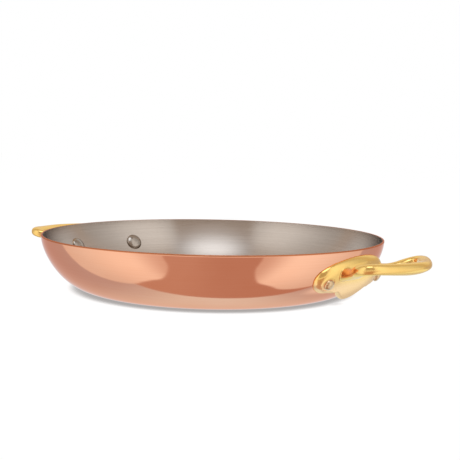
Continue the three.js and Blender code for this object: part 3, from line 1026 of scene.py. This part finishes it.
class PAN_OT_studio(bpy.types.Operator):
    """Set up the white table, the lights and the camera"""

    bl_idname = "pan.studio"
    bl_label = "Studio"

    def execute(self, context):
        scene = context.scene
        studio = scene.pan_studio
        scene.view_settings.view_transform = "Standard"
        add_camera(scene, scene.pan_shape, studio)
        add_table(studio)
        add_lamp(studio)
        add_surroundings(scene, studio)
        return {"FINISHED"}


# Studio

def add_camera(scene, pan, studio):
    """A camera that looks at the middle of the rim, then turned by yaw, pitch and roll."""
    level = math.cos(studio.elevation)
    back = Vector((
        math.sin(studio.azimuth) * level,
        -math.cos(studio.azimuth) * level,
        math.sin(studio.elevation),
    ))
    right = Vector((math.cos(studio.azimuth), math.sin(studio.azimuth), 0))
    up = back.cross(right)
    aim = Matrix((right, up, back)).transposed()
    aim = aim @ Matrix.Rotation(-studio.yaw, 3, "Y") @ Matrix.Rotation(studio.pitch, 3, "X")
    aim = aim @ Matrix.Rotation(studio.roll, 3, "Z")
    data = bpy.data.cameras.new("camera")
    data.sensor_width = studio.sensor
    data.lens = studio.lens
    camera = bpy.data.objects.new("camera", data)
    place = Vector((0, 0, pan.height)) + back * studio.distance
    camera.matrix_world = Matrix.Translation(place) @ aim.to_4x4()
    scene.collection.objects.link(camera)
    scene.camera = camera


def add_table(studio):
    """A white glowing table, darkened where the pan stands on it."""
    radius, depth = studio.table_radius, studio.table_thickness
    profile = [(0, -depth), (radius, -depth), (radius, 0), (0, 0)]
    table = new_piece("table", lathe("table", profile, TABLE_SEGMENTS))
    table.data.set_sharp_from_angle(angle=TABLE_SHARP_EDGE)
    material = bpy.data.materials.new("table_white")
    material.use_nodes = True
    tree = material.node_tree
    shader = tree.nodes["Principled BSDF"]
    shader.inputs["Base Color"].default_value = rgba(studio.table_colour)
    shader.inputs["Roughness"].default_value = studio.table_roughness
    shader.inputs["Specular IOR Level"].default_value = 0
    shader.inputs["Emission Color"].default_value = WHITE
    light_path = add_node(tree, "ShaderNodeLightPath").outputs
    seen = math_node(tree, "MAXIMUM", light_path["Is Camera Ray"], light_path["Is Glossy Ray"])
    seen = math_node(tree, "MAXIMUM", seen, light_path["Is Transmission Ray"])
    shadow = ramp_between(tree, openness(tree, studio.contact_reach), *CONTACT_SHADOW)
    tree.links.new(math_node(tree, "MULTIPLY", seen, shadow), shader.inputs["Emission Strength"])
    table.data.materials.append(material)
    table.visible_glossy = False


def add_lamp(studio):
    """A wide lamp overhead, for the soft shadow on the table."""
    data = bpy.data.lights.new("top_lamp", "AREA")
    data.shape = "DISK"
    data.size = studio.lamp_size
    data.energy = studio.lamp_power
    lamp = bpy.data.objects.new("top_lamp", data)
    lamp.location = (0, 0, studio.lamp_height)
    lamp.visible_glossy = False
    bpy.context.scene.collection.objects.link(lamp)


def ray_headings(tree, studio):
    """Sockets of where a ray goes: share to the front, to the side and up, rise from level and turn."""
    heading = add_node(tree, "ShaderNodeTexCoord").outputs["Generated"]
    to_front = Vector((math.sin(studio.azimuth), -math.cos(studio.azimuth), 0))
    to_side = Vector((math.cos(studio.azimuth), math.sin(studio.azimuth), 0))
    front = vector_node(tree, "DOT_PRODUCT", {0: heading, 1: to_front})["Value"]
    side = vector_node(tree, "DOT_PRODUCT", {0: heading, 1: to_side})["Value"]
    up = add_node(tree, "ShaderNodeSeparateXYZ", {0: heading}).outputs[2]
    rise = math_node(tree, "ARCSINE", math_node(tree, "ABSOLUTE", up))
    turn = math_node(tree, "ABSOLUTE", math_node(tree, "ARCTAN2", side, front))
    return Headings(front, side, up, rise, turn)


def softbox_edge(tree, studio, turn, rise):
    """Angle out from the edge of the softboxes, below 0 inside them: a rounded box in turn and rise."""
    middle = (studio.softbox_near + studio.softbox_far) / 2
    half = (studio.softbox_far - studio.softbox_near) / 2
    corner = studio.softbox_corner
    aside = math_node(tree, "ABSOLUTE", math_node(tree, "SUBTRACT", turn, middle))
    x = math_node(tree, "SUBTRACT", aside, half - corner)
    y = math_node(tree, "SUBTRACT", rise, studio.softbox_top - corner)
    outer = [math_node(tree, "POWER", math_node(tree, "MAXIMUM", value, 0), 2) for value in (x, y)]
    outside = math_node(tree, "SQRT", math_node(tree, "ADD", *outer))
    inside = math_node(tree, "MINIMUM", math_node(tree, "MAXIMUM", x, y), 0)
    return math_node(tree, "SUBTRACT", math_node(tree, "ADD", outside, inside), corner)


def near_fade(tree, studio, turn, width, level):
    """Socket that dims a softbox to a level at its near edge."""
    return ramp_between(tree, turn, studio.softbox_near, studio.softbox_near + width, level, 1)


def room_above(tree, studio, ray, softbox):
    """Colour of the room: softboxes that fade to their far side, a top light and a white backdrop."""
    fade = ramp_between(tree, ray.turn, *SOFTBOX_FADE)
    boxes = product(tree, softbox, fade, near_fade(tree, studio, ray.turn, *ROOM_NEAR_FADE))
    forward = math_node(tree, "POWER", math_node(tree, "SUBTRACT", ray.front, TOP_LIGHT_FRONT), 2)
    sideways = math_node(tree, "POWER", ray.side, 2)
    from_top = math_node(tree, "SQRT", math_node(tree, "ADD", forward, sideways))
    backdrop = ramp_between(tree, ray.front, *BACKDROP_EDGE)
    backdrop = product(tree, backdrop, ramp_between(tree, ray.rise, *BACKDROP_FOOT))
    lights = math_node(tree, "MAXIMUM", boxes, backdrop)
    top_light = ramp_between(tree, from_top, *TOP_LIGHT_EDGE)
    lights = mixed_colour(tree, top_light, lights, rgba(studio.top_light))
    beyond = ramp_between(tree, ray.turn, *ROOM_BEYOND)
    room = mixed_colour(tree, beyond, rgba(studio.room_shade), rgba(studio.room_behind))
    return mixed_colour(tree, 1, room, lights, "LIGHTEN")


def table_below(tree, studio, ray, softbox, edge):
    """Colour of the polished table: softboxes, the dark room between them and a paler table behind."""
    aside = ramp_between(tree, math_node(tree, "ABSOLUTE", ray.side), *TABLE_ASIDE)
    behind = mixed_colour(tree, aside, rgba(studio.table_behind), rgba(studio.table_aside))
    card = product(
        tree,
        ramp_between(tree, ray.side, *CARD_SIDE),
        ramp_between(tree, ray.rise, *CARD_FOOT),
        ramp_between(tree, ray.front, *CARD_BACK),
        ramp_between(tree, ray.rise, *CARD_TOP),
    )
    behind = mixed_colour(tree, card, behind, rgba(studio.card))
    across = ramp_between(tree, ray.side, *TABLE_ACROSS)
    shade = mixed_colour(tree, across, rgba(studio.table_shade), rgba(studio.table_dark))
    back = math_node(tree, "ADD", ray.front, math_node(tree, "MULTIPLY", ray.side, TABLE_EDGE_SKEW))
    below = mixed_colour(tree, ramp_between(tree, back, *TABLE_EDGE), shade, behind)
    boxes = product(tree, softbox, ramp_between(tree, edge, *SOFTBOX_HEART))
    boxes = product(tree, boxes, near_fade(tree, studio, ray.turn, *TABLE_NEAR_FADE))
    strip = ramp_between(tree, ray.rise, *FRONT_STRIP_TOP)
    strip = product(tree, strip, ramp_between(tree, ray.front, *FRONT_STRIP_ENDS))
    boxes = math_node(tree, "MAXIMUM", boxes, strip)
    return mixed_colour(tree, boxes, below, ramp_between(tree, ray.turn, *TABLE_GLOW))


def add_surroundings(scene, studio):
    """A room with two tall softboxes beside the camera, and below it the same in the polished table."""
    world = bpy.data.worlds.new("studio")
    world.use_nodes = True
    tree = world.node_tree
    tree.nodes.clear()
    ray = ray_headings(tree, studio)
    lowered = math_node(tree, "SUBTRACT", ray.rise, math_node(tree, "MULTIPLY", ray.side, SOFTBOX_LEAN))
    edge = softbox_edge(tree, studio, ray.turn, lowered)
    softbox = ramp_between(tree, edge, *SOFTBOX_RIM)
    above = room_above(tree, studio, ray, softbox)
    below = table_below(tree, studio, ray, softbox, edge)
    shown = mixed_colour(tree, ramp_between(tree, ray.up, *HORIZON), below, above)
    light_path = add_node(tree, "ShaderNodeLightPath").outputs
    plain = math_node(tree, "MAXIMUM", light_path["Is Camera Ray"], light_path["Is Transmission Ray"])
    glossy = light_path["Is Glossy Ray"]
    room = add_node(tree, "ShaderNodeBackground", {"Color": shown, "Strength": glossy}).outputs[0]
    white = add_node(tree, "ShaderNodeBackground", {"Color": WHITE, "Strength": plain}).outputs[0]
    total = add_node(tree, "ShaderNodeAddShader", {0: room, 1: white}).outputs[0]
    add_node(tree, "ShaderNodeOutputWorld", {"Surface": total})
    scene.world = world


# Add-on

class PAN_PT_sidebar(bpy.types.Panel):
    """Lists the steps that build the pan"""

    bl_idname = "PAN_PT_sidebar"
    bl_label = "Round Copper Pan"
    bl_space_type = "VIEW_3D"
    bl_region_type = "UI"
    bl_category = "Pan"

    def draw(self, context):
        for operator in STEPS:
            self.layout.operator(operator.bl_idname)
        for name in SETTINGS:
            settings = getattr(context.scene, name)
            box = self.layout.box()
            for key in settings.bl_rna.properties.keys():
                if key not in {"rna_type", "name"}:
                    box.prop(settings, key)


STEPS = (PAN_OT_shell, PAN_OT_lining, PAN_OT_handles, PAN_OT_rivets, PAN_OT_studio)
SETTINGS = {
    "pan_shape": PanShape,
    "pan_rivets": RivetShape,
    "pan_handles": HandleShape,
    "pan_finishes": Finishes,
    "pan_studio": Studio,
}


def register():
    """Adds the settings, the steps and the panel to Blender."""
    for cls in (*SETTINGS.values(), *STEPS, PAN_PT_sidebar):
        bpy.utils.register_class(cls)
    for name, cls in SETTINGS.items():
        setattr(bpy.types.Scene, name, PointerProperty(type=cls))


def unregister():
    """Takes the settings, the steps and the panel out of Blender."""
    for name in SETTINGS:
        delattr(bpy.types.Scene, name)
    for cls in reversed((*SETTINGS.values(), *STEPS, PAN_PT_sidebar)):
        bpy.utils.unregister_class(cls)


def main():
    """Builds the pan and its studio."""
    register()
    bpy.ops.pan.shell()
    bpy.ops.pan.lining()
    bpy.ops.pan.handles()
    bpy.ops.pan.rivets()
    bpy.ops.pan.studio()


if __name__ == "__main__":
    main()
